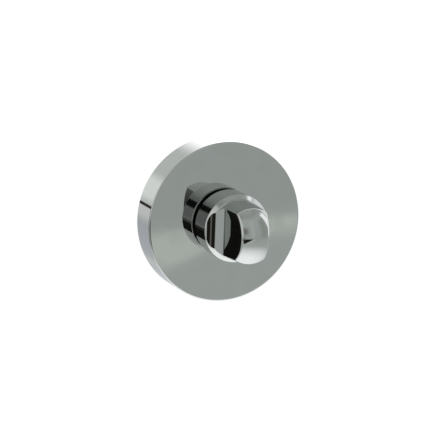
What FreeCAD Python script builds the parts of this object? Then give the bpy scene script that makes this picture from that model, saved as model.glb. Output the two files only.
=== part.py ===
"""Thumb turn on a round rose, for the inside of a bathroom door.

Millimetres. The door's face is the plane y = 0 and the turn runs about the Y axis. The front faces -Y, the
spindle runs into the door along +Y, and +Z is up. A "front" distance is measured from the door's face towards
the front, so a point at front distance d lies at y = -d.
"""
import FreeCAD
import Part
import math
import os
import Sketcher

SIZES = (
    ("rose_diameter", 52.0, "Rose cover: outside diameter"),
    ("rose_height", 10.75, "Rose cover: height of the side wall, to the corner with the face"),
    ("rose_rise", 0.1, "Rose cover: crown of the face, from that corner to the hole"),
    ("rose_wall", 1.2, "Rose cover: wall thickness"),
    ("rose_round", 0.45, "Rose cover: round between side and face"),
    ("rose_lip_round", 0.4, "Rose cover: round of the rear edge"),
    ("rose_lift", 0.1, "Rose cover: gap to the door"),
    ("rose_seat_gap", 0.1, "Gap between the cover's inside face and the base"),
    ("rose_side_gap", 0.2, "Radial gap between the cover's wall and the base"),
    ("rose_hole_gap", 0.2, "Radial gap between the cover's hole and the base's hub"),
    ("snap_front", 2.6, "Snap groove: front distance of its middle"),
    ("snap_width", 1.6, "Snap groove: width"),
    ("snap_depth", 0.45, "Snap groove: depth"),
    ("snap_gap", 0.15, "Snap barbs: gap to the groove"),
    ("snap_angle", 26.0, "Snap barbs: angle that each one covers"),
    ("snap_count", 4, "Snap barbs: count"),
    ("head_diameter", 22.0, "Turn: head diameter"),
    ("head_gap", 1.35, "Turn: gap between the head and the cover's hole"),
    ("head_length", 8.0, "Turn: length of the head's cylinder"),
    ("head_chamfer", 0.3, "Turn: chamfer of the head's rear edge"),
    ("head_round", 0.3, "Turn: round between the head's side and its front bevel"),
    ("bevel_length", 1.15, "Turn: length of the head's front bevel"),
    ("bevel_depth", 1.2, "Turn: depth of the head's front bevel"),
    ("grip_length", 10.35, "Turn: length of the grip's tapered sides"),
    ("grip_end_diameter", 17.8, "Turn: diameter at the end of the tapered sides"),
    ("grip_thickness", 10.1, "Turn: thickness of the grip at the end of the tapered sides"),
    ("grip_draft", 5.7, "Turn: slope of the grip's flats, in degrees"),
    ("grip_round", 1.0, "Turn: round of the grip's front edges"),
    ("dome_radius", 11.25, "Turn: radius of the domed front"),
    ("scoop_radius", 5.6, "Turn: radius of the finger scoops"),
    ("scoop_arc", 68.0, "Turn: angle of the scoops' arc, from its floor to the flat, in degrees"),
    ("scoop_step", 0.2, "Turn: height of the scoops' floor above the bevel's foot"),
    ("neck_diameter", 16.0, "Turn: neck diameter"),
    ("neck_tail", 1.1, "Turn: neck behind the retaining ring"),
    ("neck_chamfer", 0.4, "Turn: chamfer of the neck's end"),
    ("running_gap", 0.05, "Radial gap between the neck and the base's bore"),
    ("socket_cover", 0.8, "Turn: metal between the socket's floor and the bevel's foot"),
    ("spindle_size", 8.0, "Spindle: width across flats"),
    ("spindle_gap", 0.05, "Gap on each side of the spindle in its socket"),
    ("spindle_end_gap", 0.2, "Gap between the spindle's end and the socket's floor"),
    ("spindle_reach", 38.0, "Spindle: length behind the door's face"),
    ("spindle_chamfer", 0.6, "Spindle: chamfer of the ends"),
    ("pin_diameter", 3.0, "Spring pin: outside diameter"),
    ("pin_wall", 0.5, "Spring pin: wall thickness"),
    ("pin_slot_angle", 25.0, "Spring pin: angle of the slot"),
    ("pin_gap", 0.02, "Radial gap of the spring pin in its hole"),
    ("pin_inset", 0.3, "Spring pin: depth of its ends below the neck's surface"),
    ("washer_thickness", 0.8, "Thrust washer: thickness"),
    ("washer_gap", 0.3, "Radial gap between the thrust washer and the neck, and the recess"),
    ("wave_height", 1.1, "Wave washer: height as fitted"),
    ("wave_thickness", 0.3, "Wave washer: strip thickness"),
    ("wave_width", 2.6, "Wave washer: strip width"),
    ("wave_gap", 0.3, "Radial gap between the wave washer and the neck"),
    ("wave_count", 3, "Wave washer: crests"),
    ("clip_thickness", 1.0, "Retaining ring: thickness"),
    ("clip_width", 1.8, "Retaining ring: radial width"),
    ("clip_groove_depth", 0.4, "Retaining ring: depth of its groove in the neck"),
    ("clip_gap", 0.02, "Radial gap between the retaining ring and the groove's floor"),
    ("clip_play", 0.1, "Play of the retaining ring in its groove"),
    ("clip_opening", 44.0, "Retaining ring: angle of the opening between its ears"),
    ("clip_ear_diameter", 3.4, "Retaining ring: ear diameter"),
    ("clip_ear_hole", 1.7, "Retaining ring: hole in each ear"),
    ("base_rim_wall", 1.6, "Base: wall of the outer rim"),
    ("base_web", 2.0, "Base: thickness of the front web"),
    ("base_boss_wall", 1.8, "Base: wall round the recess"),
    ("base_hub_wall", 1.5, "Base: wall of the hub round the neck"),
    ("base_hub_inset", 0.3, "Base: depth of the hub's end below the cover's hole"),
    ("base_chamfer", 0.7, "Base: chamfer of the front edge"),
    ("recess_diameter", 25.4, "Base: rear recess for washers and retaining ring"),
    ("recess_depth", 5.2, "Base: depth of the rear recess"),
    ("rib_count", 8, "Base: ribs"),
    ("rib_thickness", 1.4, "Base: rib thickness"),
    ("fixing_spacing", 38.0, "Base: spacing of the two fixing points"),
    ("post_diameter", 10.0, "Base: diameter of the fixing posts"),
    ("lug_diameter", 8.0, "Base: diameter of the lugs that enter the door"),
    ("lug_length", 5.0, "Base: length of those lugs"),
    ("lug_chamfer", 0.5, "Base: chamfer of the lugs' ends"),
    ("insert_diameter", 6.0, "Threaded insert: outside diameter"),
    ("insert_length", 8.0, "Threaded insert: length"),
    ("insert_gap", 0.02, "Radial gap between insert and lug"),
    ("insert_groove_depth", 0.4, "Threaded insert: depth of its anchoring groove"),
    ("insert_groove_width", 1.2, "Threaded insert: width of its anchoring groove"),
    ("insert_chamfer", 0.4, "Threaded insert: chamfer of its outer ends"),
    ("thread_bore", 3.3, "Threaded insert: tapping bore for M4"),
    ("screw_hole", 4.4, "Base: room for the screw's end beyond the insert"),
)

SHEET = "Sizes"


def size(alias):
    """Returns the expression of one driving size."""
    return f"{SHEET}.{alias}"


def half(alias):
    """Returns the expression of half a driving size."""
    return f"({size(alias)} / 2)"


# Radii and front distances that several pieces share
ROSE_R = half("rose_diameter")
ROSE_INNER_R = f"({ROSE_R} - {size('rose_wall')})"
NECK_R = half("neck_diameter")
BORE_R = f"({NECK_R} + {size('running_gap')})"
HUB_R = f"({BORE_R} + {size('base_hub_wall')})"
ROSE_HOLE_R = f"({HUB_R} + {size('rose_hole_gap')})"
FACE_SLOPE = f"({size('rose_rise')} / ({ROSE_R} - {ROSE_HOLE_R}))"
FACE_FRONT = f"({size('rose_height')} + {size('rose_rise')})"
BASE_R = f"({ROSE_INNER_R} - {size('rose_side_gap')})"
HUB_FRONT = f"({FACE_FRONT} - {size('base_hub_inset')})"
RECESS_R = half("recess_diameter")
BOSS_R = f"({RECESS_R} + {size('base_boss_wall')})"
WASHER_REAR = f"({size('recess_depth')} - {size('washer_thickness')})"
CLIP_FRONT = f"({WASHER_REAR} - {size('wave_height')})"
CLIP_REAR = f"({CLIP_FRONT} - {size('clip_thickness')})"
NECK_END = f"({CLIP_REAR} - {size('neck_tail')})"
GROOVE_R = f"({NECK_R} - {size('clip_groove_depth')})"
HEAD_R = half("head_diameter")
HEAD_REAR = f"({FACE_FRONT} + {size('head_gap')})"
HEAD_RIM = f"({HEAD_REAR} + {size('head_length')})"
BEVEL_FRONT = f"({HEAD_RIM} + {size('bevel_length')})"
BEVEL_R = f"({HEAD_R} - {size('bevel_depth')})"
GRIP_END = f"({BEVEL_FRONT} + {size('grip_length')})"
GRIP_END_R = half("grip_end_diameter")
DOME_RISE = f"({size('dome_radius')} - sqrt({size('dome_radius')}^2 - {GRIP_END_R}^2))"
DOME_FRONT = f"({GRIP_END} + {DOME_RISE})"
SOCKET_FLOOR = f"({HEAD_RIM} - {size('socket_cover')})"
SPINDLE_FRONT = f"({SOCKET_FLOOR} - {size('spindle_end_gap')})"
PIN_FRONT = f"(({size('recess_depth')} + {HUB_FRONT}) / 2)"
PIN_HOLE_R = f"({half('pin_diameter')} + {size('pin_gap')})"
FIXING_X = half("fixing_spacing")
INSERT_R = half("insert_diameter")

# How far a cutting outline stands clear of what it cuts, and an added one sinks into what it joins
OVERCUT = 1.0
SINK = 0.3

# Metal left on the outside of the base's rim until it is turned to size
ALLOWANCE = 0.3

# How closely an edge has to match the place that it is looked for at
MATCH = 1e-4

# Points on each wave of the wave washer
WAVE_POINTS = 8

# Sketcher's numbers for its own origin and axes, and for the points of an edge
ROOT = -1
ACROSS_AXIS = -1
ALONG_AXIS = -2
START = 1
END = 2
MIDDLE = 3


def inside_face(radius):
    """Returns the front distance of the cover's inside face at a radius."""
    face = f"{size('rose_height')} + {FACE_SLOPE} * ({ROSE_R} - {radius})"
    return f"({face} - {size('rose_wall')})"


def base_face(radius):
    """Returns the front distance of the base's front face, which lies along the cover's inside face."""
    return f"({inside_face(radius)} - {size('rose_seat_gap')})"


def make_sheet(document):
    """Writes the driving sizes into a spreadsheet, one row each, with the size's name as alias."""
    sheet = document.addObject("Spreadsheet::Sheet", SHEET)
    for row, (alias, number, meaning) in enumerate(SIZES, start=1):
        sheet.set(f"A{row}", meaning)
        sheet.set(f"B{row}", str(number))
        sheet.setAlias(f"B{row}", alias)
    document.recompute()
    return sheet


def value(expression):
    """Returns the number that an expression has now."""
    return float(FreeCAD.ActiveDocument.getObject(SHEET).evalExpression(expression))


def behind(front):
    """Returns the y coordinate of a front distance."""
    return f"-{front}"


def new_body(document, label):
    """Returns an empty body with its label."""
    body = document.addObject("PartDesign::Body", label)
    body.Label = label
    return body


def origin(body, role):
    """Returns one of a body's own origin planes or axes."""
    return next(feature for feature in body.Origin.OriginFeatures if feature.Role == role)


def new_sketch(body, name, plane, lift=None):
    """Returns a sketch on one of the body's origin planes, lifted along its normal where lift is given."""
    sketch = body.newObject("Sketcher::SketchObject", name)
    sketch.AttachmentSupport = (origin(body, plane), [""])
    sketch.MapMode = "FlatFace"
    if lift is not None:
        sketch.setExpression("AttachmentOffset.Base.z", lift)
    return sketch


def bind_point(sketch, edge, end, across, along):
    """Ties one end of a sketch edge to its place, given as two expressions from the sketch's origin."""
    for axis, kind, place in ((ALONG_AXIS, "DistanceX", across), (ACROSS_AXIS, "DistanceY", along)):
        if place == "0":
            sketch.addConstraint(Sketcher.Constraint("PointOnObject", edge, end, axis))
            continue
        index = sketch.addConstraint(Sketcher.Constraint(kind, ROOT, START, edge, end, value(place)))
        sketch.setExpression(f"Constraints[{index}]", place)


def bind_radius(sketch, edge, radius):
    """Ties the radius of a sketch's circle or arc to an expression."""
    index = sketch.addConstraint(Sketcher.Constraint("Radius", edge, value(radius)))
    sketch.setExpression(f"Constraints[{index}]", radius)


def arc_through(start, end, radius, side):
    """Returns the short arc from start to end that bulges to the left (side 1) or right (side -1)."""
    chord = end - start
    half_chord = chord.Length / 2
    sagitta = radius - math.sqrt(radius**2 - half_chord**2)
    left = FreeCAD.Vector(-chord.y, chord.x, 0).normalize()
    return Part.Arc(start, (start + end) / 2 + left * (side * sagitta), end)


def outline(body, name, plane, corners, arcs=None, lift=None):
    """Draws a closed outline.

    corners are (across, along) pairs of expressions. arcs gives, for the corner where an arc starts, its
    radius and the side on which it bulges. All other edges are straight.
    """
    arcs = arcs or {}
    sketch = new_sketch(body, name, plane, lift)
    points = [FreeCAD.Vector(value(across), value(along), 0) for across, along in corners]
    ends = []
    for number, start in enumerate(points):
        end = points[(number + 1) % len(points)]
        if number in arcs:
            radius, side = arcs[number]
            edge = sketch.addGeometry(arc_through(start, end, value(radius), side), False)
        else:
            edge = sketch.addGeometry(Part.LineSegment(start, end), False)
        from_start = sketch.getPoint(edge, START).distanceToPoint(start)
        from_end = sketch.getPoint(edge, END).distanceToPoint(start)
        ends.append((edge, START, END) if from_start < from_end else (edge, END, START))
    for number, (edge, _, last) in enumerate(ends):
        following, following_first, _ = ends[(number + 1) % len(ends)]
        sketch.addConstraint(Sketcher.Constraint("Coincident", edge, last, following, following_first))
    for (edge, first, _), (across, along) in zip(ends, corners):
        bind_point(sketch, edge, first, across, along)
    for number, (radius, _) in arcs.items():
        bind_radius(sketch, ends[number][0], radius)
    return sketch


def discs(body, name, plane, circles, lift=None):
    """Draws circles, each an (across, along, radius) triple of expressions."""
    sketch = new_sketch(body, name, plane, lift)
    for across, along, radius in circles:
        middle = FreeCAD.Vector(value(across), value(along), 0)
        circle = Part.Circle(middle, FreeCAD.Vector(0, 0, 1), value(radius))
        edge = sketch.addGeometry(circle, False)
        bind_point(sketch, edge, MIDDLE, across, along)
        bind_radius(sketch, edge, radius)
    return sketch


def box_corners(left, right, low, high):
    """Returns the corners of an upright rectangle."""
    return [(left, low), (right, low), (right, high), (left, high)]


def tube_profile(inner, outer, front, rear):
    """Returns the corners of a ring's section, in the XY plane."""
    return box_corners(inner, outer, behind(front), behind(rear))


def turned(body, sketch, kind="Revolution", axis="V_Axis", angle=None):
    """Turns a sketch about one of its axes, right round or through an angle centred on the sketch."""
    feature = body.newObject(f"PartDesign::{kind}", f"{sketch.Name}_turned")
    feature.Profile = sketch
    feature.ReferenceAxis = (sketch, [axis])
    feature.Angle = 360
    if angle is not None:
        feature.Midplane = True
        feature.setExpression("Angle", angle)
    sketch.Visibility = False
    return feature


def padded(body, sketch, length, backwards=False):
    """Pads a sketch along its normal, or against it."""
    pad = body.newObject("PartDesign::Pad", f"{sketch.Name}_pad")
    pad.Profile = sketch
    pad.setExpression("Length", length)
    pad.Reversed = backwards
    return pad


def cut(body, sketch, length=None, forwards=False):
    """Cuts a sketch out of the body: through everything on both sides, or one way to a length."""
    pocket = body.newObject("PartDesign::Pocket", f"{sketch.Name}_cut")
    pocket.Profile = sketch
    if length is None:
        pocket.SideType = "Symmetric"
        pocket.Type = "ThroughAll"
    else:
        pocket.setExpression("Length", length)
        pocket.Reversed = forwards
    return pocket


def patterned(body, feature, count):
    """Repeats a feature round the turn's axis."""
    pattern = body.newObject("PartDesign::PolarPattern", f"{feature.Name}_pattern")
    pattern.Originals = [feature]
    pattern.Axis = (origin(body, "Y_Axis"), [""])
    pattern.Angle = 360
    pattern.setExpression("Occurrences", count)
    body.Tip = pattern
    return pattern


def mirrored(body, feature):
    """Repeats a feature on the other side of the upright plane through the axis."""
    mirror = body.newObject("PartDesign::Mirrored", f"{feature.Name}_mirror")
    mirror.Originals = [feature]
    mirror.MirrorPlane = (origin(body, "YZ_Plane"), [""])
    body.Tip = mirror
    return mirror


def ring_edges(feature, rings):
    """Returns the names of a feature's round edges that match (radius, front) pairs of expressions."""
    wanted = [(value(radius), -value(front)) for radius, front in rings]
    names = []
    for number, edge in enumerate(feature.Shape.Edges, start=1):
        if edge.Degenerated or not isinstance(edge.Curve, Part.Circle):
            continue
        found = (edge.Curve.Radius, edge.Curve.Center.y)
        if any(math.dist(found, ring) < MATCH for ring in wanted):
            names.append(f"Edge{number}")
    return names


def end_edges(shape, front):
    """Returns the names of the edges where the frontmost face, or the rearmost, meets the others."""
    choose = min if front else max
    face = choose(shape.Faces, key=lambda item: item.CenterOfMass.y)
    names = []
    for number, edge in enumerate(shape.Edges, start=1):
        owners = [other for other in shape.Faces if any(edge.isSame(item) for item in other.Edges)]
        if len(owners) == 2 and any(face.isSame(owner) for owner in owners):
            names.append(f"Edge{number}")
    return names


def dressed(body, kind, names, amount):
    """Rounds (Fillet) or chamfers (Chamfer) named edges of the body's last feature."""
    base = body.Tip
    feature = body.newObject(f"PartDesign::{kind}", f"{base.Name}_{kind.lower()}")
    feature.Base = (base, names)
    feature.setExpression("Radius" if kind == "Fillet" else "Size", amount)
    return feature


def rose_cover(document):
    """The chromed cup: a wall, a face with a slight crown, and a groove for the base's barbs."""
    body = new_body(document, "rose_cover")
    corners = [
        (ROSE_HOLE_R, behind(FACE_FRONT)),
        (ROSE_R, behind(size("rose_height"))),
        (ROSE_R, behind(size("rose_lift"))),
        (ROSE_INNER_R, behind(size("rose_lift"))),
        (ROSE_INNER_R, behind(inside_face(ROSE_INNER_R))),
        (ROSE_HOLE_R, behind(inside_face(ROSE_HOLE_R))),
    ]
    turned(body, outline(body, "cover_section", "XY_Plane", corners))
    groove_front = f"({size('snap_front')} + {half('snap_width')})"
    groove_rear = f"({size('snap_front')} - {half('snap_width')})"
    groove_r = f"({ROSE_INNER_R} + {size('snap_depth')})"
    inner_r = f"({ROSE_INNER_R} - {size('rose_side_gap')})"
    section = tube_profile(inner_r, groove_r, groove_front, groove_rear)
    turned(body, outline(body, "snap_groove", "XY_Plane", section), "Groove")
    document.recompute()
    dressed(body, "Fillet", ring_edges(body.Tip, [(ROSE_R, size("rose_height"))]), size("rose_round"))
    document.recompute()
    dressed(body, "Fillet", ring_edges(body.Tip, [(ROSE_R, size("rose_lift"))]), size("rose_lip_round"))
    return body


def base_section(body):
    """Turns the base's blank: front web, rim with its allowance, and boss and hub round the neck's bore."""
    rim_inner = f"({BASE_R} - {size('base_rim_wall')})"
    blank_r = f"({BASE_R} + {ALLOWANCE})"
    corners = [
        (BORE_R, "0"),
        (BOSS_R, "0"),
        (BOSS_R, behind(f"({base_face(BOSS_R)} - {size('base_web')})")),
        (rim_inner, behind(f"({base_face(rim_inner)} - {size('base_web')})")),
        (rim_inner, "0"),
        (blank_r, "0"),
        (blank_r, behind(base_face(blank_r))),
        (HUB_R, behind(base_face(HUB_R))),
        (HUB_R, behind(HUB_FRONT)),
        (BORE_R, behind(HUB_FRONT)),
    ]
    return turned(body, outline(body, "base_section", "XY_Plane", corners))


def base_ribs(body):
    """Adds the ribs that stiffen the web, from the boss to the rim and flush with the door."""
    root = f"({BOSS_R} - {SINK})"
    tip = f"({BASE_R} - {size('base_rim_wall')} + {SINK})"
    side = half("rib_thickness")
    rib = outline(body, "rib", "XZ_Plane", box_corners(f"-{side}", side, root, tip))
    height = f"({base_face(BASE_R)} - {size('base_web')} + {SINK})"
    return patterned(body, padded(body, rib, height), size("rib_count"))


def base_barbs(body):
    """Adds the barbs that hold the cover, each ramped towards the front."""
    root = f"({BASE_R} - {SINK})"
    crest = f"({ROSE_INNER_R} + {size('snap_depth')} - {size('snap_gap')})"
    rear = f"({size('snap_front')} - {half('snap_width')} + {size('snap_gap')})"
    front = f"({size('snap_front')} + {half('snap_width')} - {size('snap_gap')})"
    corners = [
        (root, behind(rear)),
        (crest, behind(rear)),
        (crest, behind(size("snap_front"))),
        (root, behind(front)),
    ]
    barb = turned(body, outline(body, "barb", "XY_Plane", corners), angle=size("snap_angle"))
    return patterned(body, barb, size("snap_count"))


def base_posts(body):
    """Adds the two posts behind the web that take the fixings."""
    post = discs(body, "post", "XZ_Plane", [(FIXING_X, "0", half("post_diameter"))])
    height = f"({base_face(BASE_R)} - {size('base_web')} + {SINK})"
    return mirrored(body, padded(body, post, height))


def base_turning(body):
    """Turns the rear recess and the rim's outside to size, through any rib or post that reaches there."""
    recess = tube_profile("0", RECESS_R, size("recess_depth"), f"(-{OVERCUT})")
    turned(body, outline(body, "recess", "XY_Plane", recess), "Groove")
    clear_r = f"({ROSE_R} + {size('post_diameter')})"
    chamfer_r = f"({BASE_R} - {size('base_chamfer')})"
    chamfer_rear = f"({base_face(chamfer_r)} - {size('base_chamfer')})"
    clear_front = f"({base_face(chamfer_r)} + {OVERCUT})"
    corners = [
        (BASE_R, behind(f"(-{OVERCUT})")),
        (clear_r, behind(f"(-{OVERCUT})")),
        (clear_r, behind(clear_front)),
        (f"({chamfer_r} - {OVERCUT})", behind(clear_front)),
        (BASE_R, behind(chamfer_rear)),
    ]
    return turned(body, outline(body, "rim_outside", "XY_Plane", corners), "Groove")


def base_fixings(document, body):
    """Adds the lugs that enter the door, and the bores for inserts and screw ends."""
    lug = discs(body, "lug", "XZ_Plane", [(FIXING_X, "0", half("lug_diameter"))])
    mirrored(body, padded(body, lug, size("lug_length"), backwards=True))
    bore_r = f"({INSERT_R} + {size('insert_gap')})"
    lug_end = f"-{size('lug_length')}"
    bore = discs(body, "insert_bore", "XZ_Plane", [(FIXING_X, "0", bore_r)], lift=lug_end)
    mirrored(body, cut(body, bore, size("insert_length"), forwards=True))
    room = discs(body, "screw_room", "XZ_Plane", [(FIXING_X, "0", half("screw_hole"))], lift=lug_end)
    through = f"({size('lug_length')} + {FACE_FRONT})"
    mirrored(body, cut(body, room, through, forwards=True))
    document.recompute()
    lug_rims = ring_edges(body.Tip, [(half("lug_diameter"), lug_end)])
    dressed(body, "Chamfer", lug_rims, size("lug_chamfer"))


def base_plate(document):
    """The moulded base: it is fixed to the door, carries the turn's neck and holds the cover."""
    body = new_body(document, "base_plate")
    base_section(body)
    base_ribs(body)
    base_posts(body)
    base_turning(body)
    base_barbs(body)
    base_fixings(document, body)
    return body


def threaded_inserts(document):
    """The two brass inserts in the lugs, each with an anchoring groove round its middle."""
    body = new_body(document, "threaded_insert")
    bore = half("thread_bore")
    chamfered = f"({INSERT_R} - {size('insert_chamfer')})"
    groove_r = f"({INSERT_R} - {size('insert_groove_depth')})"
    rear = f"(-{size('lug_length')})"
    front = f"({rear} + {size('insert_length')})"
    middle = f"(({rear} + {front}) / 2)"
    low = f"({middle} - {half('insert_groove_width')})"
    high = f"({middle} + {half('insert_groove_width')})"
    corners = [
        (bore, behind(rear)),
        (chamfered, behind(rear)),
        (INSERT_R, behind(f"({rear} + {size('insert_chamfer')})")),
        (INSERT_R, behind(low)),
        (groove_r, behind(low)),
        (groove_r, behind(high)),
        (INSERT_R, behind(high)),
        (INSERT_R, behind(f"({front} - {size('insert_chamfer')})")),
        (chamfered, behind(front)),
        (bore, behind(front)),
    ]
    turned(body, outline(body, "insert_section", "XY_Plane", corners))
    body.setExpression("Placement.Base.x", FIXING_X)
    other = document.addObject("Part::Mirroring", "other_insert")
    other.Source = body
    other.Normal = FreeCAD.Vector(1, 0, 0)
    pair = document.addObject("Part::Compound", "threaded_inserts")
    pair.Label = "threaded_inserts"
    pair.Links = [body, other]
    return pair


def turn_section(body):
    """Turns the whole turn: neck with its groove, head with its bevel, tapered grip and domed front."""
    groove_front = f"({CLIP_FRONT} + {size('clip_play')})"
    head_edge = f"({HEAD_R} - {size('head_chamfer')})"
    corners = [
        ("0", behind(NECK_END)),
        (f"({NECK_R} - {size('neck_chamfer')})", behind(NECK_END)),
        (NECK_R, behind(f"({NECK_END} + {size('neck_chamfer')})")),
        (NECK_R, behind(CLIP_REAR)),
        (GROOVE_R, behind(CLIP_REAR)),
        (GROOVE_R, behind(groove_front)),
        (NECK_R, behind(groove_front)),
        (NECK_R, behind(HEAD_REAR)),
        (head_edge, behind(HEAD_REAR)),
        (HEAD_R, behind(f"({HEAD_REAR} + {size('head_chamfer')})")),
        (HEAD_R, behind(HEAD_RIM)),
        (BEVEL_R, behind(BEVEL_FRONT)),
        (GRIP_END_R, behind(GRIP_END)),
        ("0", behind(DOME_FRONT)),
    ]
    dome = {len(corners) - 2: (size("dome_radius"), 1)}
    return turned(body, outline(body, "turn_section", "XY_Plane", corners, arcs=dome))


def scoop_profile():
    """Returns one scoop's outline, and its arc: the floor, which ends in a crease at the grip's flat."""
    draft = f"({size('grip_draft')} * 1deg)"
    arc = f"({size('scoop_arc')} * 1deg)"
    radius = size("scoop_radius")
    floor = f"({HEAD_RIM} + {size('scoop_step')})"
    crease_front = f"({floor} + {radius} * (1 - cos({arc})))"
    flat_x = half("grip_thickness")
    crease_x = f"({flat_x} + ({GRIP_END} - {crease_front}) * tan({draft}))"
    middle_x = f"({crease_x} + {radius} * sin({arc}))"
    clear_front = f"({DOME_FRONT} + {OVERCUT})"
    clear_x = f"({middle_x} + {radius})"
    corners = [
        (middle_x, behind(floor)),
        (crease_x, behind(crease_front)),
        (f"({flat_x} + ({GRIP_END} - {clear_front}) * tan({draft}))", behind(clear_front)),
        (clear_x, behind(clear_front)),
        (clear_x, behind(floor)),
    ]
    return corners, {0: (radius, -1)}


def turn_sockets(body):
    """Cuts the square socket for the spindle, from the neck's end, and the cross hole for its pin."""
    side = f"({half('spindle_size')} + {size('spindle_gap')})"
    corners = box_corners(f"-{side}", side, f"-{side}", side)
    socket = outline(body, "socket", "XZ_Plane", corners, lift=NECK_END)
    cut(body, socket, f"({SOCKET_FLOOR} - {NECK_END})", forwards=True)
    cut(body, discs(body, "pin_hole", "XY_Plane", [("0", behind(PIN_FRONT), PIN_HOLE_R)]))


def thumb_turn(document):
    """The chromed casting: the grip between two finger scoops, the round head, and the neck behind it."""
    body = new_body(document, "thumb_turn")
    turn_section(body)
    document.recompute()
    dressed(body, "Fillet", ring_edges(body.Tip, [(HEAD_R, HEAD_RIM)]), size("head_round"))
    corners, arcs = scoop_profile()
    mirrored(body, cut(body, outline(body, "scoop", "XY_Plane", corners, arcs)))
    document.recompute()
    dressed(body, "Fillet", end_edges(body.Tip.Shape, front=True), size("grip_round"))
    turn_sockets(body)
    return body


def thrust_washer(document):
    """The flat steel washer that bears on the floor of the base's recess."""
    body = new_body(document, "thrust_washer")
    inner = f"({NECK_R} + {size('washer_gap')})"
    outer = f"({RECESS_R} - {size('washer_gap')})"
    section = tube_profile(inner, outer, size("recess_depth"), WASHER_REAR)
    turned(body, outline(body, "washer_section", "XY_Plane", section))
    return body


def wave_ring(radius, rise, count):
    """Returns a closed wavy edge round the turn's axis."""
    steps = WAVE_POINTS * count
    points = []
    for step in range(steps):
        angle = 2 * math.pi * step / steps
        height = rise * (1 + math.cos(count * angle)) / 2
        points.append(FreeCAD.Vector(radius * math.cos(angle), -height, radius * math.sin(angle)))
    curve = Part.BSplineCurve()
    curve.interpolate(Points=points, PeriodicFlag=True)
    return curve.toShape()


def wave_washer(document):
    """The wave spring that takes up the turn's play and gives it its drag."""
    feature = document.addObject("Part::Feature", "wave_washer")
    feature.Label = "wave_washer"
    inner = value(f"{NECK_R} + {size('wave_gap')}")
    outer = inner + value(size("wave_width"))
    thickness = value(size("wave_thickness"))
    rise = value(size("wave_height")) - thickness
    count = int(value(size("wave_count")))
    rings = [wave_ring(radius, rise, count) for radius in (inner, outer)]
    strip = Part.makeRuledSurface(*rings).extrude(FreeCAD.Vector(0, -thickness, 0))
    feature.Shape = Part.Solid(strip) if strip.ShapeType == "Shell" else strip
    feature.setExpression("Placement.Base.y", behind(CLIP_FRONT))
    return feature


def retaining_ring(document):
    """The spring steel ring in the neck's groove, open at one side between two ears with holes."""
    body = new_body(document, "retaining_ring")
    inner = f"({GROOVE_R} + {size('clip_gap')})"
    outer = f"({inner} + {size('clip_width')})"
    section = outline(body, "ring_section", "XY_Plane", tube_profile(inner, outer, CLIP_FRONT, CLIP_REAR))
    turned(body, section, angle=f"(360 - {size('clip_opening')})")
    ear_r = half("clip_ear_diameter")
    middle = f"({inner} + {ear_r})"
    turn = f"({half('clip_opening')} * 1deg)"
    across = f"(-{middle} * cos({turn}))"
    along = f"({middle} * sin({turn}))"
    spots = [(across, along), (across, f"(-{along})")]
    ears = [(x, z, ear_r) for x, z in spots]
    padded(body, discs(body, "ears", "XZ_Plane", ears, lift=CLIP_REAR), size("clip_thickness"))
    holes = [(x, z, half("clip_ear_hole")) for x, z in spots]
    cut(body, discs(body, "ear_holes", "XZ_Plane", holes))
    return body


def spindle(document):
    """The square steel bar that works the lock, chamfered at both ends and cross-drilled for its pin."""
    body = new_body(document, "spindle")
    side = half("spindle_size")
    corners = box_corners(f"-{side}", side, f"-{side}", side)
    square = outline(body, "square", "XZ_Plane", corners, lift=f"-{size('spindle_reach')}")
    padded(body, square, f"({size('spindle_reach')} + {SPINDLE_FRONT})")
    document.recompute()
    caps = end_edges(body.Tip.Shape, front=True) + end_edges(body.Tip.Shape, front=False)
    dressed(body, "Chamfer", caps, size("spindle_chamfer"))
    cut(body, discs(body, "cross_hole", "XY_Plane", [("0", behind(PIN_FRONT), PIN_HOLE_R)]))
    return body


def spring_pin(document):
    """The slotted tube that pins the spindle in the neck. It stands upright, inside the base's bore."""
    body = new_body(document, "spring_pin")
    outer = half("pin_diameter")
    inner = f"({outer} - {size('pin_wall')})"
    reach = f"(sqrt({NECK_R}^2 - {outer}^2) - {size('pin_inset')})"
    section = outline(body, "pin_section", "YZ_Plane", box_corners(inner, outer, f"-{reach}", reach))
    turned(body, section, angle=f"(360 - {size('pin_slot_angle')})")
    body.setExpression("Placement.Base.y", behind(PIN_FRONT))
    return body


def check(document):
    """Stops if any object of the document has failed."""
    for item in document.Objects:
        if "Invalid" in item.State or "Error" in item.State:
            raise RuntimeError(f"{item.Label} failed: {item.State}")


def write_parts(pieces):
    """Writes each piece's shape to its own file, once every shape has been found sound."""
    for piece in pieces:
        if piece.Shape.isNull() or not piece.Shape.isValid() or not piece.Shape.Solids:
            raise RuntimeError(f"{piece.Label} has no sound solid")
    os.makedirs("parts", exist_ok=True)
    for piece in pieces:
        piece.Shape.exportStep(f"parts/{piece.Label}.step")
        print(f"{piece.Label}: {len(piece.Shape.Solids)} solid(s), {piece.Shape.Volume:.1f} mm3")


def main():
    """Builds the thumb turn and writes its pieces."""
    document = FreeCAD.newDocument("thumb_turn_rose")
    make_sheet(document)
    makers = (
        rose_cover,
        base_plate,
        threaded_inserts,
        thumb_turn,
        thrust_washer,
        wave_washer,
        retaining_ring,
        spindle,
        spring_pin,
    )
    pieces = [make(document) for make in makers]
    document.recompute()
    check(document)
    write_parts(pieces)


main()
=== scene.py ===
"""Looks of a thumb turn on a round rose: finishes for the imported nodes, inserts, studio and camera.

Metres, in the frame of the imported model: the door's face is the plane y = 0, the turn runs about
the Y axis, the front faces -Y and +Z is up.
"""

import logging
import math
from collections.abc import Callable
from dataclasses import dataclass
from enum import Enum

import bpy
from mathutils import Matrix, Vector


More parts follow.
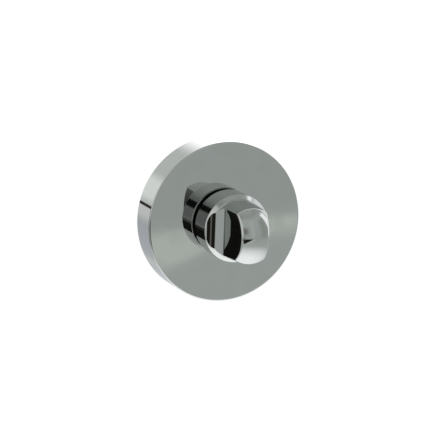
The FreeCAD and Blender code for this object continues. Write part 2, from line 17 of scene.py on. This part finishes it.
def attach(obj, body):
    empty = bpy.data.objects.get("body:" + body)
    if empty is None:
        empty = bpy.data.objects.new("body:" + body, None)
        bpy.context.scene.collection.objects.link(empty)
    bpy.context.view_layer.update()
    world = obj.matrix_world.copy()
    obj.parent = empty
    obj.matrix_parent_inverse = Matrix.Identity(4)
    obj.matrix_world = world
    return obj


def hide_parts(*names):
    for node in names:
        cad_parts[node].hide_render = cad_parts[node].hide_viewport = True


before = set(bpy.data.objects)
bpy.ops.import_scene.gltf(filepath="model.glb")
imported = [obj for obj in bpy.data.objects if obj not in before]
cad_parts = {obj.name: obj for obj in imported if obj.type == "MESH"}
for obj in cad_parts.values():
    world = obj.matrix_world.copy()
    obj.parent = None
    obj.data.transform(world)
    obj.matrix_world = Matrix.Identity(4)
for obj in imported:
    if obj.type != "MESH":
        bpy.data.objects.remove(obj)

LOG = logging.getLogger("thumb_turn")
IMAGE_PIXELS = 436
MM = 0.001
# Points nearer to each other than this are one point
DOUBLE = 1.0e-6
SMOOTH_ANGLE = math.radians(25.0)
# Elevations of straight down and straight up, in degrees
NADIR = -90.0
ZENITH = 90.0
# Sockets of the Mix node for colours, by number, since their names repeat for each type of data
MIX_SHARE, MIX_FIRST, MIX_SECOND = 0, 6, 7
MIX_RESULT = 2

Colour = tuple[float, float, float]
Scales = tuple[float, float, float]
Span = tuple[float, float]

WHITE: Colour = (1.0, 1.0, 1.0)


class Body(Enum):
    """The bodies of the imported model."""

    ROSE = "rose"
    TURN = "turn"


class Slot(Enum):
    """The record's material slots."""

    CHROME = "polished_chrome"
    NYLON = "black_nylon"
    BRASS = "brass"
    ZINC = "zinc_steel"
    SPRING = "spring_steel"


class Ray(Enum):
    """Kinds of ray that see the white surroundings, as named on the Light Path node."""

    CAMERA = "Is Camera Ray"
    GLOSSY = "Is Glossy Ray"
    TRANSMISSION = "Is Transmission Ray"


class Graph:
    """A node tree with short ways to add nodes and link them."""

    def __init__(self, tree: bpy.types.NodeTree) -> None:
        """Empties the tree.

        Args:
            tree: The node tree of a material or world.
        """
        self.tree = tree
        tree.nodes.clear()

    def add(self, kind: str, inputs: dict | None = None, **settings: object) -> bpy.types.Node:
        """Adds a node.

        Args:
            kind: The node's type name, without its ShaderNode prefix.
            inputs: Values or sockets for the node's inputs, by name or number.
            settings: Values for the node's own properties.

        Returns:
            The new node.
        """
        node = self.tree.nodes.new(f"ShaderNode{kind}")
        for name, setting in settings.items():
            setattr(node, name, setting)
        for key, value in (inputs or {}).items():
            if isinstance(value, bpy.types.NodeSocket):
                self.tree.links.new(value, node.inputs[key])
            else:
                node.inputs[key].default_value = value
        return node

    def math(self, operation: str, *values: object) -> bpy.types.NodeSocket:
        """Adds a Math node.

        Args:
            operation: The node's operation.
            values: Numbers or sockets for its inputs.

        Returns:
            The node's result.
        """
        return self.add("Math", dict(enumerate(values)), operation=operation).outputs[0]

    def step(self, value: bpy.types.NodeSocket, low: float, high: float) -> bpy.types.NodeSocket:
        """Adds a smooth step from 0 at low to 1 at high.

        Args:
            value: The socket that is tested.
            low: Where the step starts.
            high: Where the step ends.

        Returns:
            The step's result.
        """
        inputs = {"Value": value, "From Min": low, "From Max": high, "To Min": 0.0, "To Max": 1.0}
        return self.add("MapRange", inputs, interpolation_type="SMOOTHSTEP").outputs[0]

    def mix(self, share: object, first: object, second: object) -> bpy.types.NodeSocket:
        """Adds a colour mix.

        Args:
            share: How much of the second colour shows, a number or socket.
            first: A colour or socket.
            second: A colour or socket.

        Returns:
            The mixed colour.
        """
        inputs = {MIX_SHARE: share}
        for socket, value in ((MIX_FIRST, first), (MIX_SECOND, second)):
            inputs[socket] = (*value, 1.0) if isinstance(value, tuple) else value
        return self.add("Mix", inputs, data_type="RGBA").outputs[MIX_RESULT]

    def blend(
        self, first: bpy.types.NodeSocket, second: bpy.types.NodeSocket, share: float
    ) -> bpy.types.NodeSocket:
        """Adds a weighted sum of two levels.

        Args:
            first: The level that takes the rest.
            second: The level that takes the share.
            share: The second level's share, from 0 to 1.

        Returns:
            The sum.
        """
        rest = self.math("MULTIPLY", first, 1.0 - share)
        return self.math("ADD", rest, self.math("MULTIPLY", second, share))

    def bump(
        self, level: bpy.types.NodeSocket, strength: float, height: float
    ) -> bpy.types.NodeSocket:
        """Adds a fine relief.

        Args:
            level: The pattern that is raised.
            strength: How much of the relief shows, from 0 to 1.
            height: How far a level of 1 rises, in metres.

        Returns:
            The relief's normal.
        """
        inputs = {"Height": level, "Strength": strength, "Distance": height}
        return self.add("Bump", inputs).outputs[0]

    def mirrored(self, rays: bpy.types.bpy_prop_collection) -> bpy.types.NodeSocket:
        """Returns 1 for a ray that comes from a mirror or through glass, from a Light Path's outputs."""
        return self.math("MAXIMUM", rays[Ray.GLOSSY.value], rays[Ray.TRANSMISSION.value])

    def noise(
        self, scale: float, detail: float, stretch: Scales = (1.0, 1.0, 1.0)
    ) -> bpy.types.NodeSocket:
        """Adds a noise pattern on object coordinates.

        Args:
            scale: Features per metre.
            detail: Octaves of finer noise.
            stretch: Scale along each axis, to draw the pattern out.

        Returns:
            The pattern's level.
        """
        place = self.add("TexCoord").outputs["Object"]
        mapped = self.add("Mapping", {"Vector": place, "Scale": stretch}).outputs[0]
        return self.add("TexNoise", {"Vector": mapped, "Scale": scale, "Detail": detail}).outputs[0]


@dataclass(frozen=True)
class Finish:
    """A finish of one material slot. The subclasses shape its nodes."""

    slot: Slot
    light: Colour
    dark: Colour
    metallic: float
    smoothest: float
    roughest: float

    def material(self) -> bpy.types.Material:
        """Returns a new material with this finish."""
        made = bpy.data.materials.new(self.slot.value)
        made.use_nodes = True
        graph = Graph(made.node_tree)
        pattern = self.pattern(graph)
        span = {"Value": pattern, "To Min": self.roughest, "To Max": self.smoothest}
        inputs = {
            "Base Color": graph.mix(pattern, self.dark, self.light),
            "Metallic": self.metallic,
            "Roughness": graph.add("MapRange", span).outputs[0],
            "Normal": self.relief(graph),
        }
        shader = graph.add("BsdfPrincipled", inputs)
        graph.add("OutputMaterial", {"Surface": shader.outputs[0]})
        return made

    def pattern(self, graph: Graph) -> bpy.types.NodeSocket:
        """Returns the level, from 0 to 1, that carries the finish's variation."""
        raise NotImplementedError

    def relief(self, graph: Graph) -> bpy.types.NodeSocket:
        """Returns the normal of the finish's fine relief."""
        raise NotImplementedError


@dataclass(frozen=True)
class MirrorChrome(Finish):
    """Bright chromium on a polished casting: faint haze, and slow waves left by the buffing wheel."""

    haze_scale: float = 220.0
    haze_detail: float = 3.0
    haze_limits: Span = (0.3, 0.7)
    wave_scale: float = 140.0
    wave_detail: float = 1.0
    wave_strength: float = 1.0
    wave_height: float = 2.0e-6

    def pattern(self, graph: Graph) -> bpy.types.NodeSocket:
        """Returns a soft, slow haze."""
        return graph.step(graph.noise(self.haze_scale, self.haze_detail), *self.haze_limits)

    def relief(self, graph: Graph) -> bpy.types.NodeSocket:
        """Returns the waves."""
        waves = graph.noise(self.wave_scale, self.wave_detail)
        return graph.bump(waves, self.wave_strength, self.wave_height)


@dataclass(frozen=True)
class MouldedNylon(Finish):
    """Black moulded nylon with a fine spark-eroded grain."""

    flow_scale: float = 60.0
    flow_detail: float = 4.0
    grain_scale: float = 5200.0
    grain_detail: float = 2.0
    grain_share: float = 0.4
    grain_strength: float = 0.5
    grain_height: float = 1.5e-5

    def pattern(self, graph: Graph) -> bpy.types.NodeSocket:
        """Returns the slow marks of the melt's flow, broken up by the grain."""
        flow = graph.noise(self.flow_scale, self.flow_detail)
        return graph.blend(flow, self.grain(graph), self.grain_share)

    def relief(self, graph: Graph) -> bpy.types.NodeSocket:
        """Returns the grain's relief."""
        return graph.bump(self.grain(graph), self.grain_strength, self.grain_height)

    def grain(self, graph: Graph) -> bpy.types.NodeSocket:
        """Returns the grain's level."""
        return graph.noise(self.grain_scale, self.grain_detail)


@dataclass(frozen=True)
class DrawnMetal(Finish):
    """Metal with lines along the Y axis, left by drawing, turning or rolling, and cloudy plating."""

    cloud_scale: float = 180.0
    cloud_detail: float = 5.0
    line_scale: float = 900.0
    line_detail: float = 2.0
    line_stretch: Scales = (1.0, 0.05, 1.0)
    line_share: float = 0.35
    line_strength: float = 0.6
    line_height: float = 4.0e-6
    limits: Span = (0.3, 0.7)

    def pattern(self, graph: Graph) -> bpy.types.NodeSocket:
        """Returns the clouds, crossed by the lines."""
        clouds = graph.noise(self.cloud_scale, self.cloud_detail)
        return graph.step(graph.blend(clouds, self.lines(graph), self.line_share), *self.limits)

    def relief(self, graph: Graph) -> bpy.types.NodeSocket:
        """Returns the lines' relief."""
        return graph.bump(self.lines(graph), self.line_strength, self.line_height)

    def lines(self, graph: Graph) -> bpy.types.NodeSocket:
        """Returns the lines' level."""
        return graph.noise(self.line_scale, self.line_detail, self.line_stretch)


FINISHES: tuple[Finish, ...] = (
    MirrorChrome(
        Slot.CHROME,
        light=(0.505, 0.515, 0.51),
        dark=(0.49, 0.50, 0.495),
        metallic=1.0,
        smoothest=0.02,
        roughest=0.045,
    ),
    MouldedNylon(
        Slot.NYLON,
        light=(0.035, 0.035, 0.037),
        dark=(0.018, 0.018, 0.019),
        metallic=0.0,
        smoothest=0.42,
        roughest=0.6,
    ),
    DrawnMetal(
        Slot.BRASS,
        light=(0.83, 0.62, 0.3),
        dark=(0.66, 0.46, 0.19),
        metallic=1.0,
        smoothest=0.2,
        roughest=0.38,
    ),
    DrawnMetal(
        Slot.ZINC,
        light=(0.66, 0.68, 0.71),
        dark=(0.52, 0.54, 0.57),
        metallic=1.0,
        smoothest=0.22,
        roughest=0.4,
    ),
    DrawnMetal(
        Slot.SPRING,
        light=(0.19, 0.19, 0.2),
        dark=(0.1, 0.1, 0.11),
        metallic=1.0,
        smoothest=0.28,
        roughest=0.5,
    ),
)


@dataclass
class Assembly:
    """The nodes of one body, and what dresses them."""

    body: Body
    nodes: dict[str, Slot]
    materials: dict[Slot, bpy.types.Material]

    def dress(self) -> None:
        """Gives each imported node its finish."""
        for name, slot in self.nodes.items():
            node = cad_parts[name]
            node.data.materials.clear()
            node.data.materials.append(self.materials[slot])
            LOG.info("%s: %s on body %s", name, slot.value, self.body.value)


def activate(piece: bpy.types.Object) -> None:
    """Makes a piece the only selected one, and the active one."""
    bpy.ops.object.select_all(action="DESELECT")
    piece.select_set(True)
    bpy.context.view_layer.objects.active = piece


def pick_faces(piece: bpy.types.Object, wanted: Callable[[bpy.types.MeshPolygon], bool]) -> None:
    """Selects faces of a piece that is in Edit Mode.

    Args:
        piece: The piece.
        wanted: Tells whether a face is selected.
    """
    bpy.ops.mesh.select_all(action="DESELECT")
    bpy.ops.object.mode_set(mode="OBJECT")
    for face in piece.data.polygons:
        face.select = wanted(face)
    bpy.ops.object.mode_set(mode="EDIT")


def pick_level_edges(piece: bpy.types.Object, height: float) -> None:
    """Selects the edges that lie at one height, of a piece that is in Edit Mode.

    Args:
        piece: The piece.
        height: The edges' z.
    """
    bpy.ops.mesh.select_all(action="DESELECT")
    bpy.ops.object.mode_set(mode="OBJECT")
    points = piece.data.vertices
    for edge in piece.data.edges:
        edge.select = all(abs(points[end].co.z - height) < DOUBLE for end in edge.vertices)
    bpy.ops.object.mode_set(mode="EDIT")


@dataclass(frozen=True)
class ThreadedInserts:
    """The two brass inserts that take the fixing screws: M4 thread inside, two knurled bands outside.

    Each is modelled upright, with one end at z = 0, and then laid along the Y axis at its fixing.
    crest_share and root_share are the widths of the thread's crest and root as shares of the pitch.
    upright is the largest z of a face's normal at which the face still counts as upright.
    """

    spread: float = 19.0 * MM
    rear: float = 5.0 * MM
    length: float = 8.0 * MM
    radius: float = 3.0 * MM
    neck_radius: float = 2.6 * MM
    chamfer: float = 0.4 * MM
    band: float = 3.0 * MM
    band_rows: int = 4
    sides: int = 48
    knurl_twist: float = math.radians(3.75)
    knurl_depth: float = 0.15 * MM
    knurl_land: float = 0.05 * MM
    pitch: float = 0.7 * MM
    crest_radius: float = 1.65 * MM
    root_radius: float = 2.0 * MM
    crest_share: float = 0.25
    root_share: float = 0.125
    thread_steps: int = 24
    spare_turns: int = 2
    upright: float = 0.1

    def build(self, material: bpy.types.Material) -> None:
        """Models one insert, copies it for the other fixing and dresses both.

        Args:
            material: The brass.
        """
        right = self.join(self.thread(), self.outside())
        bpy.ops.object.duplicate(linked=False)
        left = bpy.context.object
        for name, insert, side in (("insert_right", right, 1), ("insert_left", left, -1)):
            insert.name = insert.data.name = name
            insert.rotation_euler.x = math.pi / 2
            insert.location = (side * self.spread, self.rear, 0.0)
            activate(insert)
            bpy.ops.object.transform_apply(location=True, rotation=True, scale=True)
            insert.data.materials.clear()
            insert.data.materials.append(material)
            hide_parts("threaded_inserts")
            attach(insert, Body.ROSE.value)
            LOG.info("%s: %d faces, %s", name, len(insert.data.polygons), Slot.BRASS.value)

    def thread(self) -> bpy.types.Object:
        """Sweeps one pitch of the thread's section up a helix and trims it to the insert's length.

        Returns:
            The thread, open at both ends.
        """
        bpy.ops.mesh.primitive_plane_add(size=self.pitch)
        thread = bpy.context.object
        bpy.ops.object.mode_set(mode="EDIT")
        bpy.ops.mesh.merge(type="CENTER")
        bpy.ops.transform.translate(value=(self.crest_radius, 0.0, -self.pitch))
        depth = self.root_radius - self.crest_radius
        flank_share = (1.0 - self.crest_share - self.root_share) / 2
        section = (
            (0.0, self.crest_share),
            (depth, flank_share),
            (0.0, self.root_share),
            (-depth, flank_share),
        )
        for across, share in section:
            move = {"value": (across, 0.0, share * self.pitch)}
            bpy.ops.mesh.extrude_region_move(TRANSFORM_OT_translate=move)
        bpy.ops.object.mode_set(mode="OBJECT")
        sweep = thread.modifiers.new("sweep", "SCREW")
        sweep.axis = "Z"
        sweep.screw_offset = self.pitch
        sweep.iterations = math.ceil(self.length / self.pitch) + self.spare_turns
        sweep.steps = sweep.render_steps = self.thread_steps
        bpy.ops.object.modifier_apply(modifier=sweep.name)
        bpy.ops.object.mode_set(mode="EDIT")
        bpy.ops.mesh.select_all(action="SELECT")
        bpy.ops.mesh.remove_doubles(threshold=DOUBLE)
        for height, side in ((0.0, "clear_inner"), (self.length, "clear_outer")):
            bpy.ops.mesh.select_all(action="SELECT")
            cut = {"plane_co": (0.0, 0.0, height), "plane_no": (0.0, 0.0, 1.0), side: True}
            bpy.ops.mesh.bisect(threshold=DOUBLE, **cut)
        bpy.ops.object.mode_set(mode="OBJECT")
        return thread

    def outside(self) -> bpy.types.Object:
        """Draws the outside up from the rear end, ring by ring, and knurls its two bands.

        Returns:
            The outside, open at both ends.
        """
        bpy.ops.object.select_all(action="DESELECT")
        bpy.ops.mesh.primitive_circle_add(vertices=self.sides, radius=self.neck_radius)
        outside = bpy.context.object
        bpy.ops.object.mode_set(mode="EDIT")
        bpy.ops.mesh.select_all(action="SELECT")
        row = self.band / self.band_rows
        groove = self.length - 2 * (self.chamfer + self.band)
        flare = self.radius / self.neck_radius
        rings = [(self.chamfer, flare, 0.0)]
        rings += [(row, 1.0, self.knurl_twist)] * self.band_rows
        rings += [(0.0, 1 / flare, 0.0), (groove, 1.0, 0.0), (0.0, flare, 0.0)]
        rings += [(row, 1.0, -self.knurl_twist)] * self.band_rows
        rings += [(self.chamfer, 1 / flare, 0.0)]
        height = 0.0
        for rise, widening, twist in rings:
            height += rise
            bpy.ops.mesh.extrude_region_move(TRANSFORM_OT_translate={"value": (0.0, 0.0, rise)})
            middle = (0.0, 0.0, height)
            bpy.ops.transform.resize(value=(widening, widening, 1.0), center_override=middle)
            bpy.ops.transform.rotate(value=twist, orient_axis="Z", center_override=middle)
        bpy.ops.mesh.select_all(action="SELECT")
        bpy.ops.mesh.normals_make_consistent(inside=False)
        bpy.ops.mesh.select_mode(type="FACE")
        pick_faces(outside, self.on_band)
        bpy.ops.mesh.inset(use_individual=True, thickness=self.knurl_land, depth=-self.knurl_depth)
        bpy.ops.object.mode_set(mode="OBJECT")
        return outside

    def on_band(self, face: bpy.types.MeshPolygon) -> bool:
        """Tells whether a face of the outside lies on a knurled band."""
        mean_radius = (self.radius + self.neck_radius) / 2
        return face.center.xy.length > mean_radius and abs(face.normal.z) < self.upright

    def join(self, thread: bpy.types.Object, outside: bpy.types.Object) -> bpy.types.Object:
        """Makes one closed insert of its thread and its outside.

        Args:
            thread: The thread.
            outside: The outside.

        Returns:
            The insert.
        """
        activate(outside)
        thread.select_set(True)
        bpy.ops.object.join()
        bpy.ops.object.mode_set(mode="EDIT")
        bpy.ops.mesh.select_mode(type="EDGE")
        for height in (0.0, self.length):
            pick_level_edges(outside, height)
            bpy.ops.mesh.fill()
        bpy.ops.mesh.select_all(action="SELECT")
        bpy.ops.mesh.remove_doubles(threshold=DOUBLE)
        bpy.ops.mesh.normals_make_consistent(inside=False)
        bpy.ops.object.mode_set(mode="OBJECT")
        bpy.ops.object.shade_smooth_by_angle(angle=SMOOTH_ANGLE)
        return outside


@dataclass(frozen=True)
class Sight:
    """Where a ray goes, as angles in degrees."""

    from_front: bpy.types.NodeSocket
    from_back: bpy.types.NodeSocket
    elevation: bpy.types.NodeSocket


@dataclass(frozen=True)
class Card:
    """A soft-edged card or lamp of the studio, in degrees.

    Azimuth runs from the front to the right, or from the back to the right where rear is set.
    Elevation runs upwards, and tilt is what the card's upper and lower edges climb for each degree
    to the right of pivot. edge is half the width of the soft edges, across and upwards.
    """

    azimuth: Span
    elevation: Span
    edge: Span
    colour: Colour
    rear: bool = False
    tilt: float = 0.0
    pivot: float = 0.0

    def share(self, graph: Graph, sight: Sight) -> bpy.types.NodeSocket:
        """Works out how much of a ray the card takes.

        Args:
            graph: The world's nodes.
            sight: Where the ray goes.

        Returns:
            The share, from 0 to 1.
        """
        azimuth = sight.from_back if self.rear else sight.from_front
        off = graph.math("SUBTRACT", azimuth, self.pivot)
        height = graph.math("SUBTRACT", sight.elevation, graph.math("MULTIPLY", off, self.tilt))
        spans = (self.azimuth, self.elevation)
        shares = []
        for value, (low, high), edge in zip((azimuth, height), spans, self.edge):
            shares.append(graph.step(value, low - edge, low + edge))
            shares.append(graph.step(value, high + edge, high - edge))
        across = graph.math("MULTIPLY", shares[0], shares[1])
        upwards = graph.math("MULTIPLY", shares[2], shares[3])
        return graph.math("MULTIPLY", across, upwards)


@dataclass(frozen=True)
class Studio:
    """The surroundings that the chrome mirrors.

    bands gives the room's level of light at each elevation, from straight below to straight above,
    and tint its colour. The backdrop is behind, and a later card covers an earlier one.
    """

    bands: tuple[tuple[float, float], ...] = (
        (-90.0, 1.62),
        (-70.0, 1.54),
        (-60.0, 1.40),
        (-50.0, 1.06),
        (-40.0, 0.80),
        (-29.0, 0.63),
        (-26.0, 0.60),
        (-14.5, 0.585),
        (-12.8, 0.545),
        (0.0, 0.55),
        (30.0, 0.585),
        (45.0, 0.605),
        (62.0, 0.47),
        (75.0, 0.54),
        (90.0, 0.56),
    )
    tint: Colour = (0.965, 1.03, 0.99)
    backdrop: Card = Card((-50.0, 50.0), (-20.0, 60.0), (15.0, 10.0), WHITE, rear=True)
    cards: tuple[Card, ...] = (
        # Softboxes on the right, and lamp and shade on the right behind the rose
        Card((68.0, 86.0), (-9.0, 46.0), (2.5, 3.0), (1.55, 1.55, 1.55)),
        Card((84.0, 128.0), (-9.0, 9.0), (3.0, 4.0), (1.45, 1.45, 1.45)),
        Card((88.0, 128.0), (9.0, 42.0), (3.0, 4.0), (1.15, 1.17, 1.16)),
        Card((6.0, 60.0), (-45.0, 37.0), (9.0, 6.0), (1.1, 1.12, 1.15), rear=True),
        Card((11.0, 60.0), (-10.0, 37.0), (9.0, 6.0), (2.0, 2.0, 2.0), rear=True),
        Card((-2.0, 60.0), (-45.0, -15.0), (9.0, 5.0), (0.66, 0.68, 0.71), rear=True),
        # Panels on the left behind the rose, with a dark gap that shows on its wall
        Card((-46.0, 2.0), (-45.0, 45.0), (4.0, 6.0), (0.75, 0.79, 0.75), rear=True),
        Card((-46.0, -9.0), (1.5, 15.5), (5.0, 3.0), (1.12, 1.16, 1.12), rear=True),
        Card((-46.0, -9.0), (-9.0, 0.0), (5.0, 3.0), (0.86, 0.88, 0.87), rear=True),
        Card((-46.0, -2.0), (-29.0, -11.0), (5.0, 3.0), (0.6, 0.62, 0.66), rear=True),
        Card((-46.0, -9.0), (-2.75, -0.95), (3.0, 0.35), (0.04, 0.03, 0.025), rear=True),
        # Dark flag and pale cards on the left
        Card((-146.0, -107.0), (-40.0, 2.0), (3.0, 1.0), (0.02, 0.02, 0.02)),
        Card((-103.5, -45.5), (-35.0, 50.0), (3.5, 6.0), (0.55, 0.585, 0.565)),
        Card((-85.0, -46.0), (38.0, 47.0), (5.0, 3.0), (0.8, 0.82, 0.8)),
        Card((-46.0, -28.0), (46.0, 62.0), (6.0, 5.0), (0.38, 0.4, 0.39)),
        Card((-98.0, -30.0), (-6.0, 38.0), (6.0, 4.0), (0.92, 0.94, 0.91)),
        # The dark room round the camera, and the near edge of the floor
        Card((4.0, 19.0), (-8.0, 48.0), (5.0, 6.0), (0.61, 0.65, 0.61)),
        Card((40.0, 64.0), (-10.0, 40.0), (10.0, 8.0), (0.43, 0.46, 0.425)),
        Card((-33.0, -17.0), (-11.0, 24.0), (5.0, 5.0), (0.27, 0.28, 0.27)),
        Card((-26.0, -6.0), (4.0, 23.0), (7.0, 6.0), (0.29, 0.3, 0.28)),
        Card((-24.6, -19.2), (7.0, 20.5), (0.8, 1.0), (0.01, 0.01, 0.01)),
        Card((-46.0, -24.0), (-17.5, -11.5), (2.5, 1.2), (0.016, 0.015, 0.013)),
        Card((-30.0, 11.0), (-27.0, -11.5), (2.5, 1.2), (0.016, 0.015, 0.013)),
        Card((-22.0, -14.5), (-14.6, -9.0), (4.5, 1.0), (0.21, 0.2, 0.175)),
        Card((-15.0, 14.0), (-60.0, -26.0), (3.0, 0.8), (0.63, 0.66, 0.64), tilt=0.55, pivot=-14.0),
        # A light strip on the floor, seen in the rose's face, and what bounds it below
        Card((15.0, 32.0), (-15.2, -13.15), (2.0, 0.16), (0.73, 0.79, 0.73), tilt=0.135, pivot=22.0),
        Card((15.0, 32.0), (-19.0, -14.25), (2.0, 0.16), (0.565, 0.603, 0.579), tilt=0.28, pivot=22.0),
    )

    def sight(self, graph: Graph) -> Sight:
        """Works out where a ray goes.

        Args:
            graph: The world's nodes.

        Returns:
            The ray's angles.
        """
        place = graph.add("TexCoord").outputs["Generated"]
        parts = graph.add("SeparateXYZ", {0: place}).outputs
        forward = graph.math("MULTIPLY", parts["Y"], -1.0)
        from_front = graph.math("DEGREES", graph.math("ARCTAN2", parts["X"], forward))
        from_back = graph.math("DEGREES", graph.math("ARCTAN2", parts["X"], parts["Y"]))
        elevation = graph.math("DEGREES", graph.math("ARCSINE", parts["Z"]))
        return Sight(from_front, from_back, elevation)

    def gradient(self, graph: Graph, elevation: bpy.types.NodeSocket) -> bpy.types.NodeSocket:
        """Shades the room from the floor below to the ceiling.

        Args:
            graph: The world's nodes.
            elevation: The ray's elevation.

        Returns:
            The colour.
        """
        brightest = max(level for _, level in self.bands)
        span = {"Value": elevation, "From Min": NADIR, "From Max": ZENITH}
        ramp = graph.add("ValToRGB", {0: graph.add("MapRange", span).outputs[0]})
        # A new ramp has a stop at each end
        stops = ramp.color_ramp.elements
        for angle, _ in self.bands[1:-1]:
            stops.new((angle - NADIR) / (ZENITH - NADIR))
        for stop, (_, level) in zip(stops, self.bands):
            stop.color = (*(level / brightest * part for part in self.tint), 1.0)
        scale = graph.add("VectorMath", {0: ramp.outputs[0], "Scale": brightest}, operation="SCALE")
        return scale.outputs[0]

    def world(self) -> None:
        """Makes the world: white to the camera, and backdrop, room and cards to the metal."""
        made = bpy.data.worlds.new("studio")
        made.use_nodes = True
        bpy.context.scene.world = made
        graph = Graph(made.node_tree)
        sight = self.sight(graph)
        rays = graph.add("LightPath").outputs
        colour = self.gradient(graph, sight.elevation)
        behind = graph.math("MULTIPLY", graph.mirrored(rays), self.backdrop.share(graph, sight))
        colour = graph.mix(behind, colour, self.backdrop.colour)
        for card in self.cards:
            colour = graph.mix(card.share(graph, sight), colour, card.colour)
        shown = graph.mix(rays[Ray.CAMERA.value], colour, self.backdrop.colour)
        background = graph.add("Background", {"Color": shown, "Strength": 1.0})
        graph.add("OutputWorld", {"Surface": background.outputs[0]})


@dataclass(frozen=True)
class PaleFloor:
    """The plain pale floor well below the turn.

    In mirrors it glows by painted_pool_lift within painted_pool_core of its middle, fading to none at
    painted_pool_radius: a painted pool of light.
    """

    radius: float = 0.47
    sides: int = 96
    height: float = -0.26
    light: Colour = (0.88, 0.88, 0.88)
    dark: Colour = (0.84, 0.84, 0.845)
    fleck_scale: float = 400.0
    fleck_detail: float = 2.0
    camera_lift: float = 0.4
    painted_pool_lift: float = 0.95
    painted_pool_radius: float = 0.47
    painted_pool_core: float = 0.06

    def material(self) -> bpy.types.Material:
        """Returns the floor's material: a pale card that keeps the shadow, lifted evenly where the
        camera sees it, and with a painted pool of light where mirrors see it.
        """
        made = bpy.data.materials.new("pale_floor")
        made.use_nodes = True
        graph = Graph(made.node_tree)
        flecks = graph.noise(self.fleck_scale, self.fleck_detail)
        card = graph.add("BsdfDiffuse", {"Color": graph.mix(flecks, self.dark, self.light)})
        rays = graph.add("LightPath").outputs
        camera = graph.math("MULTIPLY", rays[Ray.CAMERA.value], self.camera_lift)
        # Painted pool of light: a glow that only mirrors see, full round the floor's middle and fading
        # outwards
        place = graph.add("TexCoord").outputs["Object"]
        reach = graph.add("VectorMath", {0: place}, operation="LENGTH").outputs["Value"]
        painted_pool_fade = graph.step(reach, self.painted_pool_radius, self.painted_pool_core)
        painted_pool = graph.math("MULTIPLY", painted_pool_fade, self.painted_pool_lift)
        lift = graph.math("MULTIPLY_ADD", graph.mirrored(rays), painted_pool, camera)
        glow = graph.add("Emission", {"Color": (*WHITE, 1.0), "Strength": lift})
        both = graph.add("AddShader", {0: card.outputs[0], 1: glow.outputs[0]})
        graph.add("OutputMaterial", {"Surface": both.outputs[0]})
        return made

    def lay(self) -> None:
        """Makes the floor."""
        bpy.ops.object.select_all(action="DESELECT")
        bpy.ops.mesh.primitive_circle_add(vertices=self.sides, radius=self.radius, fill_type="NGON")
        floor = bpy.context.object
        floor.name = "pale_floor"
        floor.location.z = self.height
        floor.data.materials.append(self.material())


@dataclass(frozen=True)
class Viewpoint:
    """The photo's camera, in degrees and metres, with its sensor in millimetres.

    azimuth and elevation say where it stands round the turn, roll how it is tilted, pixels_per_mm how
    large the turn is in the picture, and aside how far the camera is moved to its own right and up.
    """

    azimuth: float = -23.6
    elevation: float = 12.8
    roll: float = 2.0
    distance: float = 900.0 * MM
    pixels_per_mm: float = 3.102
    aside: Span = (2.027 * MM, -1.066 * MM)
    sensor: float = 36.0
    clip: Span = (0.01, 100.0)

    def place(self) -> None:
        """Makes the camera and gives it to the scene."""
        data = bpy.data.cameras.new("photo_camera")
        camera = bpy.data.objects.new("photo_camera", data)
        bpy.context.scene.collection.objects.link(camera)
        angles = (self.azimuth, self.elevation, self.roll)
        turn, rise, roll = (math.radians(angle) for angle in angles)
        reach = math.cos(rise)
        back = Vector((math.sin(turn) * reach, -math.cos(turn) * reach, math.sin(rise)))
        level = Vector((math.cos(turn), math.sin(turn), 0.0))
        right = level * math.cos(roll) + back.cross(level) * math.sin(roll)
        up = back.cross(right)
        spot = back * self.distance + right * self.aside[0] + up * self.aside[1]
        pose = Matrix((right, up, back)).transposed().to_4x4()
        pose.translation = spot
        camera.matrix_world = pose
        data.sensor_width = self.sensor
        data.lens = self.pixels_per_mm / MM * self.distance * self.sensor / IMAGE_PIXELS
        data.clip_start, data.clip_end = self.clip
        bpy.context.scene.camera = camera


def main() -> None:
    """Builds the assemblies, the studio and the camera."""
    logging.basicConfig(level=logging.INFO, format="%(message)s")
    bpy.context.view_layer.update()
    materials = {finish.slot: finish.material() for finish in FINISHES}
    rose = Assembly(
        Body.ROSE,
        {
            "rose_cover": Slot.CHROME,
            "base_plate": Slot.NYLON,
            "thrust_washer": Slot.ZINC,
        },
        materials,
    )
    turn = Assembly(
        Body.TURN,
        {
            "thumb_turn": Slot.CHROME,
            "wave_washer": Slot.SPRING,
            "retaining_ring": Slot.SPRING,
            "spindle": Slot.ZINC,
            "spring_pin": Slot.SPRING,
        },
        materials,
    )
    for assembly in (rose, turn):
        assembly.dress()
    ThreadedInserts().build(materials[Slot.BRASS])
    Studio().world()
    PaleFloor().lay()
    Viewpoint().place()
    bpy.context.scene.view_settings.view_transform = "Standard"


if __name__ == "__main__":
    main()
